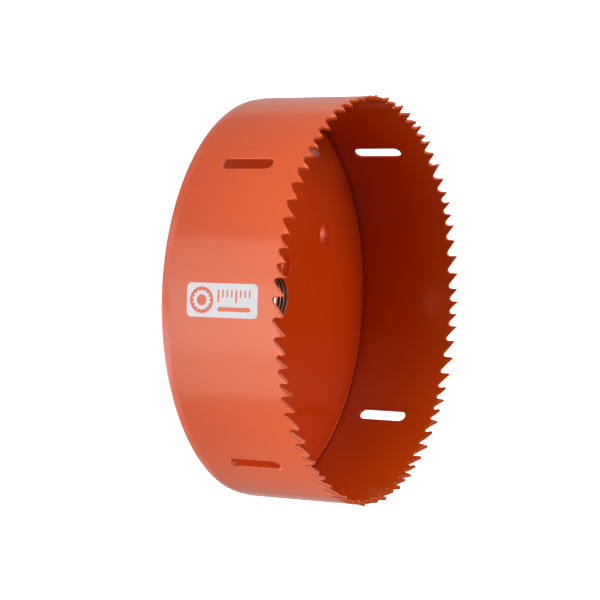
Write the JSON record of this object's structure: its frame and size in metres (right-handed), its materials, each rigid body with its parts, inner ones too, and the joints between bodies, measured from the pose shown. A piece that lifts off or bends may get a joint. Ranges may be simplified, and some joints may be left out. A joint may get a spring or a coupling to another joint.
{
  "type": "hole saw",
  "caption": "Large cup-shaped hole saw: thin toothed steel wall with long slots, welded round a thick back plate with a threaded centre bore.",
  "frame": {"origin": "centre of the back face, on the axis, where the saw stands with its teeth up", "axes": "+Z along the axis from the back face to the teeth, +X through the middle of one slot"},
  "size_m": [0.1523, 0.1521, 0.0482],
  "materials": {
    "painted_steel": "gloss",
    "bare_steel": "machined",
    "white_print": "satin"
  },
  "bodies": {
    "root": {"cup_wall": "painted_steel", "back_plate": "painted_steel"}
  },
  "joints": []
}
